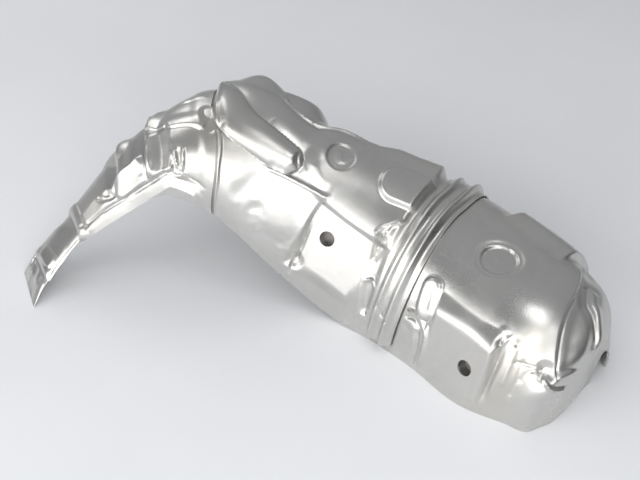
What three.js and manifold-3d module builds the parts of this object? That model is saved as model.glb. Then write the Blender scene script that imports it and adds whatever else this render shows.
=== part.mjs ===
// Heat shield over an exhaust manifold's runner, collector and close-coupled converter.
// Millimetres, +Z up. The open side faces down and the long axis of the converter lies along X.
import * as THREE from "three";
import { mergeVertices } from "three/addons/utils/BufferGeometryUtils.js";
import Module from "manifold-3d";

const wasm = await Module();
wasm.setup();

// ---------------------------------------------------------------- driving sizes, mm
const OVERALL = { length: 310, width: 257, height: 114 }; // the pressed shell, along X, Y and Z
const DRAWN = { length: 310, width: 257, height: 114 }; // the sizes that the stations below are drawn at
const SHEET = 0.8; // outer panels
const LINER = 0.6; // inner panels
const MAT = 2.4; // insulation mats
const CLEAR = 0.3; // between pieces that touch
const PRESS = 3.2; // deepest press into an outer panel
const BOLT_HOLE = 9.6; // in the outer panels
const BUSH_BORE = 10.2;
const BUSH_WALL = 2.4;
const BUSH_FLANGE = 3.2; // how far the flange stands out of the barrel
const BUSH_FLANGE_THICK = 1.2;
const SEAM_LAP = 4.5; // arm panel over collector panel
const FOOT_LAP = 6.5; // arm panel over foot tab
const COLLAR_HALF = 9.5; // half the width of the joint collar
const HEM_DEPTH = SHEET + 6 * CLEAR; // liner hem below the outer skin
const HEM_SET_BACK = 4; // degrees between the liner hem and the outer rim

// depths below the outer skin
const MAT_TOP = SHEET + PRESS + 2 * CLEAR;
const MAT_BOTTOM = MAT_TOP + MAT;
const LINER_TOP = MAT_BOTTOM + 3 * CLEAR;
const LINER_BOTTOM = LINER_TOP + LINER;
const LAP_RISE = SHEET + 3 * CLEAR; // one sheet riding over another

// ---------------------------------------------------------------- the pressed form
// Stations along the crown of the shield: crown point x, y, z, then the heading of the spine in degrees,
// then half width, drop and squareness of the near side and of the far side, and how far the rim leans
// back.
const STATIONS = [
  [-175, -196, 1, 70, 15, 1, 3.0, 20, 1, 3.0, 0],
  [-177, -182, 17, 72, 14, 4, 3.0, 17, 5, 3.0, 0],
  [-174, -157, 42, 72, 16, 7, 3.4, 15, 14, 3.0, 0],
  [-162, -131, 74, 68, 21, 18, 3.4, 22, 26, 2.8, 0],
  [-148, -105, 102, 60, 31, 27, 3.0, 28, 42, 2.6, 0],
  [-135, -78, 113, 48, 43, 46, 2.6, 40, 52, 2.4, 0],
  [-108, -54, 110, 28, 48, 58, 2.2, 38, 58, 2.4, 0],
  [-78, -34, 98, 16, 50, 71, 2.1, 34, 62, 2.5, 0],
  [-44, -18, 85, 8, 50, 80, 2.1, 40, 68, 2.6, 0],
  [-8, -3, 77, 0, 57, 77, 2.1, 50, 74, 2.6, 0],
  [30, 0, 72, 0, 56, 72, 2.2, 53, 72, 2.7, 0],
  [66, 0, 69, 0, 56, 69, 2.3, 52, 69, 2.7, 0],
  [92, 3, 61, 3, 49, 61, 2.3, 46, 61, 2.5, 0],
  [111, 5, 44, 10, 41, 44, 2.2, 31, 44, 2.2, 6],
  [105, 25, 19, 10, 9, 19, 2.0, 9, 19, 2.0, 1],
];
const LAST_STATION = STATIONS.length - 1;
const STATION_PITCH = 36; // mm between stations along the collector and converter
const RIM = 90; // degrees from the crown to either rim

const clamp = (x, low, high) => Math.min(high, Math.max(low, x));
const mix = (a, b, f) => a + (b - a) * f;
const rise = (from, to, x) => {
  const f = clamp((x - from) / (to - from), 0, 1);
  return f * f * (3 - 2 * f);
};

// a Catmull-Rom row of the station table at a fractional station
function stationAt(t) {
  const i = clamp(Math.floor(t), 0, LAST_STATION - 1);
  const f = t - i;
  const rows = [i - 1, i, i + 1, i + 2].map((k) => STATIONS[clamp(k, 0, LAST_STATION)]);
  return rows[1].map((_, k) => {
    const [a, b, c, d] = rows.map((row) => row[k]);
    const bend = 2 * a - 5 * b + 4 * c - d;
    const twist = 3 * b - a - 3 * c + d;
    return 0.5 * (2 * b + (c - a) * f + bend * f ** 2 + twist * f ** 3);
  });
}

// the plain form before any pressing: t in stations, lean in degrees from the crown, near side negative
function plainPoint(t, lean) {
  const [x, y, z, heading, wn, dn, en, wf, df, ef, back] = stationAt(t);
  const [width, drop, square] = lean < 0 ? [wn, dn, en] : [wf, df, ef];
  const angle = THREE.MathUtils.degToRad(Math.abs(lean));
  const side = width * Math.abs(Math.sin(angle)) ** (2 / square) * Math.sign(lean);
  const fall = drop * (Math.abs(Math.cos(angle)) ** (2 / square) - 1);
  const turn = THREE.MathUtils.degToRad(heading);
  const lag = (back * fall) / drop;
  return new THREE.Vector3(
    ((x - side * Math.sin(turn) + lag * Math.cos(turn)) * OVERALL.length) / DRAWN.length,
    ((y + side * Math.cos(turn) + lag * Math.sin(turn)) * OVERALL.width) / DRAWN.width,
    (Math.max(z + fall, 0) * OVERALL.height) / DRAWN.height,
  );
}

const T_STEP = 0.03;
const LEAN_STEP = 1.5;
function plainNormal(t, lean) {
  const near = clamp(lean, -RIM + LEAN_STEP, RIM - LEAN_STEP);
  const along = plainPoint(clamp(t + T_STEP, 0, LAST_STATION), near);
  along.sub(plainPoint(clamp(t - T_STEP, 0, LAST_STATION), near));
  const across = plainPoint(t, near + LEAN_STEP).sub(plainPoint(t, near - LEAN_STEP));
  return along.cross(across).normalize();
}

// ---------------------------------------------------------------- where the panels part
const FOOT_PITCH = 34; // mm between stations at the foot
const SEAM_PITCH = 33; // and at the seam
const FOOT_END = 2.12;
const ARM_START = FOOT_END - FOOT_LAP / FOOT_PITCH;
const seamAt = (lean) => 5.02 + 0.26 * rise(0, 45, -lean) - 0.1 * rise(60, 90, -lean);
const bandAt = (lean) => 9.05 + 0.32 * Math.cos(THREE.MathUtils.degToRad(1.35 * (lean + 55)));
const fromSeam = (t, lean) => (t - seamAt(lean)) * SEAM_PITCH;
const fromBand = (t, lean) => (t - bandAt(lean)) * STATION_PITCH;

// ---------------------------------------------------------------- flat seats for the bolts
// station and lean of the hole, the place on the form that the flat is parallel to, then how far the flat
// reaches back, ahead, up and down from the hole
const seatAt = (t, lean, parallel, reaches) => ({ t, lean, parallel, ...reaches });
const SEATS = {
  collector: seatAt(7.83, -54, [8.12, -54], { back: 11, ahead: 28, up: 14, down: 22 }),
  converter: seatAt(11.03, -70, [10.85, -70], { back: 28, ahead: 12, up: 18, down: 15 }),
};
const SEAT_SINK = 0.8;
const BARREL = BUSH_BORE + 2 * BUSH_WALL;
const LINER_SEAT = BARREL / 2 + BUSH_FLANGE + 4; // the flat in a mat or liner only clears its bush
const SEAT_EDGE = 5;
const SEAT_REACH = 10; // skin further than this from the flat's plane is left alone
for (const seat of Object.values(SEATS)) {
  seat.normal = plainNormal(...seat.parallel);
  seat.centre = plainPoint(seat.t, seat.lean).addScaledVector(seat.normal, -SEAT_SINK);
  seat.along = plainPoint(seat.t + T_STEP, seat.lean).sub(plainPoint(seat.t - T_STEP, seat.lean));
  seat.along.addScaledVector(seat.normal, -seat.along.dot(seat.normal)).normalize();
  seat.upward = new THREE.Vector3().crossVectors(seat.normal, seat.along);
  seat.upward.multiplyScalar(Math.sign(seat.upward.z));
}

function seatShare(seat, point, widest) {
  const offset = point.clone().sub(seat.centre);
  const along = offset.dot(seat.along);
  const upward = offset.dot(seat.upward);
  const reach = (side) => Math.min(seat[side], widest);
  const overAlong = Math.max(along - reach("ahead"), -along - reach("back"));
  const overUp = Math.max(upward - reach("up"), -upward - reach("down"));
  const away = Math.abs(offset.dot(seat.normal));
  const beside = 1 - rise(0, SEAT_EDGE, Math.max(overAlong, overUp));
  return beside * (1 - rise(SEAT_REACH, 2 * SEAT_REACH, away));
}

// the skin carrying the two flat seats, a depth below it measured square to the sheet
function seatedPoint(t, lean, depth, widest = Infinity) {
  const point = plainPoint(t, lean);
  const normal = plainNormal(t, lean);
  for (const seat of Object.values(SEATS)) {
    const share = seatShare(seat, point, widest);
    const above = point.clone().sub(seat.centre).dot(seat.normal);
    point.addScaledVector(seat.normal, -above * share);
    normal.lerp(seat.normal, share).normalize();
  }
  point.addScaledVector(normal, -depth);
  point.z = Math.max(point.z, 0);
  return point;
}

// ---------------------------------------------------------------- presses in the outer panels
// Each takes its distance from a line on the plain form, so its width and reach are true millimetres.
const line = (...stops) => stops.map(([t, lean]) => plainPoint(t, lean));
function distanceTo(path, point) {
  if (path.length === 1) return path[0].distanceTo(point);
  const near = new THREE.Vector3();
  const spans = path.slice(1).map((end, k) => {
    new THREE.Line3(path[k], end).closestPointToPoint(point, true, near);
    return near.distanceTo(point);
  });
  return Math.min(...spans);
}
// half width and height each run from their first value to their second between two stations
const tube = (path, stations, half, height) => (t, lean, point) => {
  const run = rise(...stations, t);
  const share = clamp(distanceTo(path, point) / mix(...half, run), 0, 1);
  return mix(...height, run) * (1 - share ** 2) ** 0.7;
};
const table = (path, half, height, edge) => (t, lean, point) => {
  return height * (1 - rise(half - edge, half, distanceTo(path, point)));
};
// a raised land whose left end leans with the form, which stops at the wall over the bolt flat
const plateau = (t, lean) => {
  const left = 7.0 + 0.4 * rise(10, 33, -lean);
  const wall = -37.5 - 3 * (t - 7.6);
  const inside = rise(-5, 5, (t - left) * STATION_PITCH) * rise(-3, 3, lean - wall);
  return 2.8 * inside * (1 - rise(18, 48, lean));
};
// a pad on the collector's far side: soft towards the crown, square at the joint end
const farPad = (t, lean) => {
  const ends = rise(7.4, 7.95, t) * (1 - rise(8.54, 8.7, t));
  return 6 * ends * rise(6, 34, lean) * (1 - rise(72, 86, lean));
};
// a ledge along the converter's far side
const ledge = (t, lean) => {
  const ends = rise(9.7, 9.9, t) * (1 - rise(10.95, 11.15, t));
  return 5.2 * ends * rise(14, 34, lean) * (1 - rise(76, 86, lean));
};

const RIB_NEAR = line([5.12, 14], [5.38, 0], [5.7, -14], [6.08, -21], [6.5, -25], [6.72, -26]);
const RIB_FAR = line([5.42, 40], [5.72, 18], [6.03, 5], [6.35, -1], [6.65, -5], [6.95, -9]);
const RIBS = [
  tube(RIB_NEAR, [5.1, 6.7], [14.5, 9.5], [6.5, 4.6]),
  tube(RIB_FAR, [5.4, 6.95], [18.5, 11], [9.6, 0.6]),
];
const COLLECTOR_PRESSES = [
  table(line([5.75, 52], [6.2, 52]), 25, 9, 16), // far lobe
  plateau,
  table(line([7.42, -7]), 9.6, -1.4, 3), // round spot-weld recess
  table(line([8.41, -4.5], [9.12, -3.5]), 13.8, 3.2, 4), // long raised pad
  farPad,
  table(line([8.67, -37], [8.75, -22], [8.95, -15]), 3.2, 1.8, 3), // fold beside the joint
];
const CONVERTER_PRESSES = [
  table(line([10.43, -6]), 16.5, -1.0, 3), // wide ring of the round recess
  table(line([10.43, -6]), 12, -1.8, 2.5), // its floor
  table(line([9.86, -42], [9.96, -58]), 8, 2.2, 4), // oval emboss
  ledge,
  table(line([12.5, -43]), 8, -3.2, 7), // dent in the dome
];
const FLANGE_LEAN = -74;
const FLANGE_FLARE = 2.6;
const FLARE_FADE = 0.5;
const FLARE_ENDS = [4.6, 5.0];
const lip = (from, x) => Math.max(0, x - from);

function pressOf(panel, t, lean, point) {
  if (panel === "arm") {
    const flare = (FLANGE_FLARE * lip(-FLANGE_LEAN, -lean)) / (RIM + FLANGE_LEAN);
    return flare * rise(ARM_START, ARM_START + FLARE_FADE, t) * (1 - rise(...FLARE_ENDS, t));
  }
  if (panel === "collector") {
    const clearOfSeam = rise(SEAM_LAP, SEAM_LAP + 5, fromSeam(t, lean));
    const clearOfBand = rise(COLLAR_HALF + 3, COLLAR_HALF + 8, -fromBand(t, lean));
    const ribs = Math.max(...RIBS.map((rib) => rib(t, lean, point)));
    const pressed = COLLECTOR_PRESSES.reduce((sum, press) => sum + press(t, lean, point), ribs);
    return Math.max(pressed, -PRESS) * clearOfSeam * clearOfBand;
  }
  if (panel === "converter") {
    const clearOfBand = rise(COLLAR_HALF + 3, COLLAR_HALF + 8, fromBand(t, lean));
    const pressed = CONVERTER_PRESSES.reduce((sum, press) => sum + press(t, lean, point), 0);
    return Math.max(pressed, -PRESS) * clearOfBand;
  }
  return 0;
}

function pressedPoint(panel, t, lean, depth) {
  return seatedPoint(t, lean, depth - pressOf(panel, t, lean, plainPoint(t, lean)));
}

// ---------------------------------------------------------------- solids from sheets
// A sheet between two faces given as functions of its grid; its four edges are closed.
function sheetSolid(columns, rows, face) {
  const corners = [];
  for (const side of [0, 1]) {
    for (let i = 0; i <= columns; i += 1) {
      for (let j = 0; j <= rows; j += 1) corners.push(face(i / columns, j / rows, side));
    }
  }
  const at = (i, j, side) => side * (columns + 1) * (rows + 1) + i * (rows + 1) + j;
  const index = [];
  const quad = (a, b, c, d) => index.push(a, b, c, a, c, d);
  for (let i = 0; i < columns; i += 1) {
    for (let j = 0; j < rows; j += 1) {
      quad(at(i, j, 0), at(i + 1, j, 0), at(i + 1, j + 1, 0), at(i, j + 1, 0));
      quad(at(i, j, 1), at(i, j + 1, 1), at(i + 1, j + 1, 1), at(i + 1, j, 1));
    }
    quad(at(i, 0, 0), at(i, 0, 1), at(i + 1, 0, 1), at(i + 1, 0, 0));
    quad(at(i, rows, 0), at(i + 1, rows, 0), at(i + 1, rows, 1), at(i, rows, 1));
  }
  for (let j = 0; j < rows; j += 1) {
    quad(at(0, j, 0), at(0, j + 1, 0), at(0, j + 1, 1), at(0, j, 1));
    quad(at(columns, j, 0), at(columns, j, 1), at(columns, j + 1, 1), at(columns, j + 1, 0));
  }
  const geometry = new THREE.BufferGeometry();
  const numbers = corners.flatMap((p) => p.toArray());
  geometry.setAttribute("position", new THREE.Float32BufferAttribute(numbers, 3));
  geometry.setIndex(index);
  return geometry;
}

function toManifold(geometry) {
  const bare = geometry.clone();
  bare.deleteAttribute("normal");
  bare.deleteAttribute("uv");
  const merged = mergeVertices(bare, 1e-4);
  return new wasm.Manifold(
    new wasm.Mesh({
      numProp: 3,
      vertProperties: new Float32Array(merged.attributes.position.array),
      triVerts: new Uint32Array(merged.index.array),
    }),
  );
}

function fromManifold(solid) {
  const mesh = solid.getMesh();
  const geometry = new THREE.BufferGeometry();
  geometry.setAttribute("position", new THREE.BufferAttribute(mesh.vertProperties, 3));
  geometry.setIndex(new THREE.BufferAttribute(mesh.triVerts, 1));
  return geometry;
}

// turns +Y of a lathe or cylinder onto the seat's outward normal, with its origin at a depth below the seat
function onSeat(geometry, seat, depth) {
  const turn = new THREE.Quaternion().setFromUnitVectors(new THREE.Vector3(0, 1, 0), seat.normal);
  const place = seat.centre.clone().addScaledVector(seat.normal, -depth);
  return geometry.applyMatrix4(new THREE.Matrix4().compose(place, turn, new THREE.Vector3(1, 1, 1)));
}

const HOLE_SIDES = 32;
const DRILL_LENGTH = 30;
function drilled(geometry, seat, diameter) {
  const drill = new THREE.CylinderGeometry(diameter / 2, diameter / 2, DRILL_LENGTH, HOLE_SIDES);
  return fromManifold(toManifold(geometry).subtract(toManifold(onSeat(drill, seat, 0))));
}

// ---------------------------------------------------------------- finishes
const finish = (name, color, metalness, roughness) => {
  const material = new THREE.MeshStandardMaterial({ color, metalness, roughness });
  material.name = name;
  return material;
};
const FINISH = {
  outer: finish("bright_steel", 0xc9cbce, 1, 0.24),
  liner: finish("dull_steel", 0x8f9092, 1, 0.5),
  mat: finish("fibre_mat", 0xd8d2c4, 0, 0.95),
  bush: finish("plated_steel", 0xa5a7a8, 1, 0.4),
};

const shield = new THREE.Group();
function add(name, geometry, material) {
  const mesh = new THREE.Mesh(geometry, material);
  mesh.name = name;
  shield.add(mesh);
}

// ---------------------------------------------------------------- outer panels
const leanOf = (share, reach) => mix(-reach, reach, share);
// columns along the panel, then rows across it
const GRID = { foot: [10, 8], arm: [20, 14], collector: [30, 32], converter: [24, 32] };

// the arm's end kicks up to ride over the collector panel
function armPanel() {
  return sheetSolid(...GRID.arm, (u, s, side) => {
    const lean = leanOf(s, RIM);
    const t = mix(ARM_START, seamAt(lean) + SEAM_LAP / SEAM_PITCH / 2, u);
    const lap = LAP_RISE * rise(-SEAM_LAP * 3, -SEAM_LAP * 1.2, fromSeam(t, lean));
    return pressedPoint("arm", t, lean, side * SHEET - lap);
  });
}

const FOOT_STEP = [0.4, 0.15]; // stations before the arm's start where the foot steps down under it
function footTab() {
  return sheetSolid(...GRID.foot, (u, s, side) => {
    const t = mix(0, FOOT_END, u);
    const under = LAP_RISE * rise(...FOOT_STEP, ARM_START - t);
    return seatedPoint(t, leanOf(s, RIM), side * SHEET + under);
  });
}

function collectorPanel() {
  const plain = sheetSolid(...GRID.collector, (u, s, side) => {
    const lean = leanOf(s, RIM);
    const t = mix(seamAt(lean) - SEAM_LAP / SEAM_PITCH / 2, bandAt(lean) - CLEAR / STATION_PITCH, u);
    return pressedPoint("collector", t, lean, side * SHEET);
  });
  return drilled(plain, SEATS.collector, BOLT_HOLE);
}

function converterPanel() {
  const plain = sheetSolid(...GRID.converter, (u, s, side) => {
    const lean = leanOf(s, RIM);
    const t = mix(bandAt(lean) + CLEAR / STATION_PITCH, LAST_STATION, u);
    return pressedPoint("converter", t, lean, side * SHEET);
  });
  return drilled(plain, SEATS.converter, BOLT_HOLE);
}

// the collar's height over the panels, from its collector edge to its converter edge
const COLLAR_PROFILE = [
  [-1, 1.5],
  [-0.76, 2.6],
  [-0.52, 5.0],
  [-0.3, 3.3],
  [0, 2.5],
  [0.22, 3.6],
  [0.42, 5.6],
  [0.62, 3.3],
  [1, 1.5],
];
const COLLAR_REACH = 86; // degrees each side of the crown
const COLLAR_ROWS = 30;
function jointCollar() {
  const steps = COLLAR_PROFILE.length - 1;
  return sheetSolid(steps, COLLAR_ROWS, (u, s, side) => {
    const [across, height] = COLLAR_PROFILE[Math.round(u * steps)];
    const lean = leanOf(s, COLLAR_REACH);
    const t = bandAt(lean) + (across * COLLAR_HALF) / STATION_PITCH;
    return seatedPoint(t, lean, side * SHEET - height);
  });
}

add("foot_tab", footTab(), FINISH.outer);
add("arm_outer_panel", armPanel(), FINISH.outer);
add("collector_outer_panel", collectorPanel(), FINISH.outer);
add("converter_outer_panel", converterPanel(), FINISH.outer);
add("joint_collar", jointCollar(), FINISH.outer);

// ---------------------------------------------------------------- mats and liners behind each panel
// first and last station of each, set back from the outer panels' ends
const END_GAP = 0.1;
const ARM_LINED_FROM = 2.9; // below this the arm is too narrow for a mat
const DOME_START = 12; // the dome is a single sheet
const LAYERS = {
  arm: {
    from: () => ARM_LINED_FROM,
    to: (lean) => seamAt(lean) - 2 * END_GAP,
    columns: 10,
    rows: 10,
  },
  collector: {
    from: (lean) => seamAt(lean) + END_GAP,
    to: (lean) => bandAt(lean) - END_GAP,
    columns: 14,
    rows: 14,
  },
  converter: {
    from: (lean) => bandAt(lean) + END_GAP,
    to: () => DOME_START,
    columns: 10,
    rows: 14,
  },
};
const MAT_REACH = 72; // degrees each side of the crown
const HEM_REACH = RIM - HEM_SET_BACK;

// mat and liner share their rows of points, so they stay parallel; the liner adds a hem at each rim
function matLeans(span) {
  return Array.from({ length: span.rows + 1 }, (_, k) => leanOf(k / span.rows, MAT_REACH));
}
function linerLeans(span) {
  const hem = [HEM_REACH, mix(MAT_REACH, HEM_REACH, 0.5)];
  return [...hem.map((lean) => -lean), ...matLeans(span), ...hem.reverse()];
}
function layer(span, leans, depthAt) {
  const rows = leans.length - 1;
  return sheetSolid(span.columns, rows, (u, s, side) => {
    const lean = leans[Math.round(s * rows)];
    return seatedPoint(mix(span.from(lean), span.to(lean), u), lean, depthAt(lean, side), LINER_SEAT);
  });
}
const matDepth = (lean, side) => mix(MAT_TOP, MAT_BOTTOM, side);
const linerDepth = (lean, side) => {
  const hemmed = rise(MAT_REACH, HEM_REACH, Math.abs(lean));
  return mix(LINER_TOP, HEM_DEPTH, hemmed) + side * LINER;
};

for (const [name, span] of Object.entries(LAYERS)) {
  const seat = SEATS[name];
  const passes = BARREL + 2 * CLEAR;
  const mat = layer(span, matLeans(span), matDepth);
  const liner = layer(span, linerLeans(span), linerDepth);
  add(`${name}_insulation_mat`, seat ? drilled(mat, seat, passes) : mat, FINISH.mat);
  add(`${name}_inner_liner`, seat ? drilled(liner, seat, passes) : liner, FINISH.liner);
}

// ---------------------------------------------------------------- spacer bushes under the bolt holes
function spacerBush(seat) {
  const top = -(SHEET + CLEAR);
  const ledge = -(LINER_BOTTOM + 5 * CLEAR);
  const bottom = ledge - BUSH_FLANGE_THICK;
  const bore = BUSH_BORE / 2;
  const barrel = BARREL / 2;
  const flange = barrel + BUSH_FLANGE;
  const outline = [
    [bore, top],
    [bore, bottom],
    [flange, bottom],
    [flange, ledge],
    [barrel, ledge],
    [barrel, top],
    [bore, top],
  ];
  return onSeat(new THREE.LatheGeometry(outline.map((p) => new THREE.Vector2(...p)), HOLE_SIDES), seat, 0);
}
for (const [name, seat] of Object.entries(SEATS)) add(`${name}_spacer_bush`, spacerBush(seat), FINISH.bush);

// ---------------------------------------------------------------- origin: mid footprint, on the ground
const box = new THREE.Box3().setFromObject(shield);
shield.position.set(-(box.min.x + box.max.x) / 2, -(box.min.y + box.max.y) / 2, -box.min.z);

export default shield;
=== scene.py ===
"""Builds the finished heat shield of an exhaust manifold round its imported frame, with its studio."""

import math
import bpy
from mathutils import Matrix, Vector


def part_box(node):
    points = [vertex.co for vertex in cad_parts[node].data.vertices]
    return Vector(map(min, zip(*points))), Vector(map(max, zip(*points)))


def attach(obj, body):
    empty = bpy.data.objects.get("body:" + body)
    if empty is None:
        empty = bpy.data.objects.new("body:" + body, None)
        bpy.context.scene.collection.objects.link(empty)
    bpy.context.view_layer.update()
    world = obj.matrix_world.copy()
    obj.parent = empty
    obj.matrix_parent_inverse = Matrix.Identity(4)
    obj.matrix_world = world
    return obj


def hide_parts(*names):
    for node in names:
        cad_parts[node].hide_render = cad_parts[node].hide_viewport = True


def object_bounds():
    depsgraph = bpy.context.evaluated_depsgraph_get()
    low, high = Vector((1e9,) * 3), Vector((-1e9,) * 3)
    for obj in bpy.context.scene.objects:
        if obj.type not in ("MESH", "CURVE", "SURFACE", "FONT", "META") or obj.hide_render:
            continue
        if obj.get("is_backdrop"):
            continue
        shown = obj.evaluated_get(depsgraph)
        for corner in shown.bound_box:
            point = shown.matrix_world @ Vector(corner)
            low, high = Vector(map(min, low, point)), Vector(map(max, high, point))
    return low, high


bl_info = {
    "name": "Exhaust Manifold Heat Shield",
    "version": (1, 0, 0),
    "blender": (4, 5, 0),
    "location": "View3D > Sidebar > Heat Shield",
    "description": "Pressed outer panels, joint collar, liners, mats and bushes of a manifold heat shield",
    "category": "Add Mesh",
}

import bpy
import numpy as np
from bpy.props import FloatProperty, FloatVectorProperty, PointerProperty
from mathutils import Vector, noise

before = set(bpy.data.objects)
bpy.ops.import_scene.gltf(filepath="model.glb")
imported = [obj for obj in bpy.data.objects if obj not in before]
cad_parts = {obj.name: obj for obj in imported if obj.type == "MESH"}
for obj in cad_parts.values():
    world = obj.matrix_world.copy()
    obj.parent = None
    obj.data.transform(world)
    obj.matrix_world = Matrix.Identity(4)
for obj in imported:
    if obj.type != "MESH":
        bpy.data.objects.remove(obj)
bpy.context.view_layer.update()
MM = 0.001

# ---------------------------------------------------------------- the pressed form, drawn in millimetres
# Crown point x, y, z, heading in degrees, then half width, drop and squareness of the near side and of the
# far side, and how far the rim leans back.
STATIONS = np.array(
    [
        (-175, -196, 1, 70, 15, 1, 3.0, 20, 1, 3.0, 0),
        (-177, -182, 17, 72, 14, 4, 3.0, 17, 5, 3.0, 0),
        (-174, -157, 42, 72, 16, 7, 3.4, 15, 14, 3.0, 0),
        (-162, -131, 74, 68, 21, 18, 3.4, 22, 26, 2.8, 0),
        (-148, -105, 102, 60, 31, 27, 3.0, 28, 42, 2.6, 0),
        (-135, -78, 113, 48, 43, 46, 2.6, 40, 52, 2.4, 0),
        (-108, -54, 110, 28, 48, 58, 2.2, 38, 58, 2.4, 0),
        (-78, -34, 98, 16, 50, 71, 2.1, 34, 62, 2.5, 0),
        (-44, -18, 85, 8, 50, 80, 2.1, 40, 68, 2.6, 0),
        (-8, -3, 77, 0, 57, 77, 2.1, 50, 74, 2.6, 0),
        (30, 0, 72, 0, 56, 72, 2.2, 53, 72, 2.7, 0),
        (66, 0, 69, 0, 56, 69, 2.3, 52, 69, 2.7, 0),
        (92, 3, 61, 3, 49, 61, 2.3, 46, 61, 2.5, 0),
        (111, 5, 44, 10, 41, 44, 2.2, 31, 44, 2.2, 6),
        (105, 25, 19, 10, 9, 19, 2.0, 9, 19, 2.0, 1),
    ],
    float,
)
LAST_STATION = len(STATIONS) - 1
RIM = 90.0

# millimetres from one station to the next, near the joint, near the seam and near the foot
STATION_PITCH = 36.0
SEAM_PITCH = 33.0
FOOT_PITCH = 34.0

# how far apart, in stations and in degrees, the form is sampled to find its slope
T_STEP = 0.03
LEAN_STEP = 1.5


def rise(start, end, x):
    """0 before start, 1 after end, and a smooth ramp between them."""
    f = np.clip((x - start) / (end - start), 0.0, 1.0)
    return f * f * (3.0 - 2.0 * f)


def mix(a, b, f):
    """The value a share f of the way from a to b."""
    return a + (b - a) * f


def unit(v):
    return v / np.maximum(np.linalg.norm(v, axis=-1, keepdims=True), 1e-9)


def dot(a, b):
    return np.sum(a * b, axis=-1)


def curve_through(rows, t):
    """The value at a fractional row of a table, by Catmull-Rom."""
    last = len(rows) - 1
    i = np.clip(np.floor(t).astype(int), 0, last - 1)
    f = (t - i)[..., None]
    a, b, c, d = (rows[np.clip(i + k, 0, last)] for k in (-1, 0, 1, 2))
    return 0.5 * (2 * b + (c - a) * f + (2 * a - 5 * b + 4 * c - d) * f**2 + (3 * b - a - 3 * c + d) * f**3)


def plain_point(t, lean):
    """A point of the form before any pressing. lean is in degrees from the crown, negative on the near side."""
    t, lean = np.broadcast_arrays(np.asarray(t, float), np.asarray(lean, float))
    x, y, z, heading, wn, dn, en, wf, df, ef, back = np.moveaxis(curve_through(STATIONS, t), -1, 0)
    near = lean < 0
    width, drop, square = np.where(near, wn, wf), np.where(near, dn, df), np.where(near, en, ef)
    angle = np.radians(np.abs(lean))
    side = width * np.abs(np.sin(angle)) ** (2 / square) * np.sign(lean)
    fall = drop * (np.abs(np.cos(angle)) ** (2 / square) - 1)
    turn = np.radians(heading)
    lag = back * fall / drop
    return np.stack(
        [
            x - side * np.sin(turn) + lag * np.cos(turn),
            y + side * np.cos(turn) + lag * np.sin(turn),
            np.maximum(z + fall, 0),
        ],
        -1,
    )


def plain_normal(t, lean):
    """The outward direction of the form before any pressing."""
    t, lean = np.broadcast_arrays(np.asarray(t, float), np.asarray(lean, float))
    inner = np.clip(lean, -RIM + LEAN_STEP, RIM - LEAN_STEP)
    along = plain_point(np.clip(t + T_STEP, 0, LAST_STATION), inner)
    along = along - plain_point(np.clip(t - T_STEP, 0, LAST_STATION), inner)
    across = plain_point(t, inner + LEAN_STEP) - plain_point(t, inner - LEAN_STEP)
    return unit(np.cross(along, across))


def seam_at(lean):
    """The station where the arm meets the collector, at each lean."""
    return 5.02 + 0.26 * rise(0, 45, -lean) - 0.1 * rise(60, 90, -lean)


def band_at(lean):
    """The station of the joint between collector and converter, at each lean."""
    return 9.05 + 0.32 * np.cos(np.radians(1.35 * (lean + 55)))


def from_seam(t, lean):
    """Millimetres past the seam, towards the joint."""
    return (t - seam_at(lean)) * SEAM_PITCH


def from_band(t, lean):
    """Millimetres past the joint, towards the dome."""
    return (t - band_at(lean)) * STATION_PITCH


# ---------------------------------------------------------------- sheet and layer sizes, mm
SHEET = 0.8
LINER = 0.6
MAT = 2.4
CLEAR = 0.3
PRESS = 3.2
BOLT_HOLE = 9.6
BUSH_BORE = 10.2
BUSH_WALL = 2.4
BUSH_FLANGE = 3.2
BUSH_FLANGE_THICK = 1.2
BARREL = BUSH_BORE + 2 * BUSH_WALL
LINER_SEAT = BARREL / 2 + BUSH_FLANGE + 4
SEAM_LAP = 4.5
FOOT_LAP = 6.5
FOOT_END = 2.12
ARM_START = FOOT_END - FOOT_LAP / FOOT_PITCH
COLLAR_HALF = 9.5
LAP_RISE = SHEET + CLEAR
MAT_TOP = SHEET + PRESS + 2 * CLEAR
MAT_BOTTOM = MAT_TOP + MAT
LINER_TOP = MAT_BOTTOM + 3 * CLEAR
LINER_BOTTOM = LINER_TOP + LINER
HEM_DEPTH = SHEET + 6 * CLEAR
MAT_REACH = 72.0
HEM_REACH = 86.0
END_GAP = 0.1
ARM_LINED_FROM = 2.9
DOME_START = 12.0
FAR = 1e3

# width of a bolt flat's edge, how far in or out of the form it acts, and how steeply it ends below
SEAT_EDGE = 5.0
SEAT_REACH = 10.0
LOWER_STEEPNESS = 0.5


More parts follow.
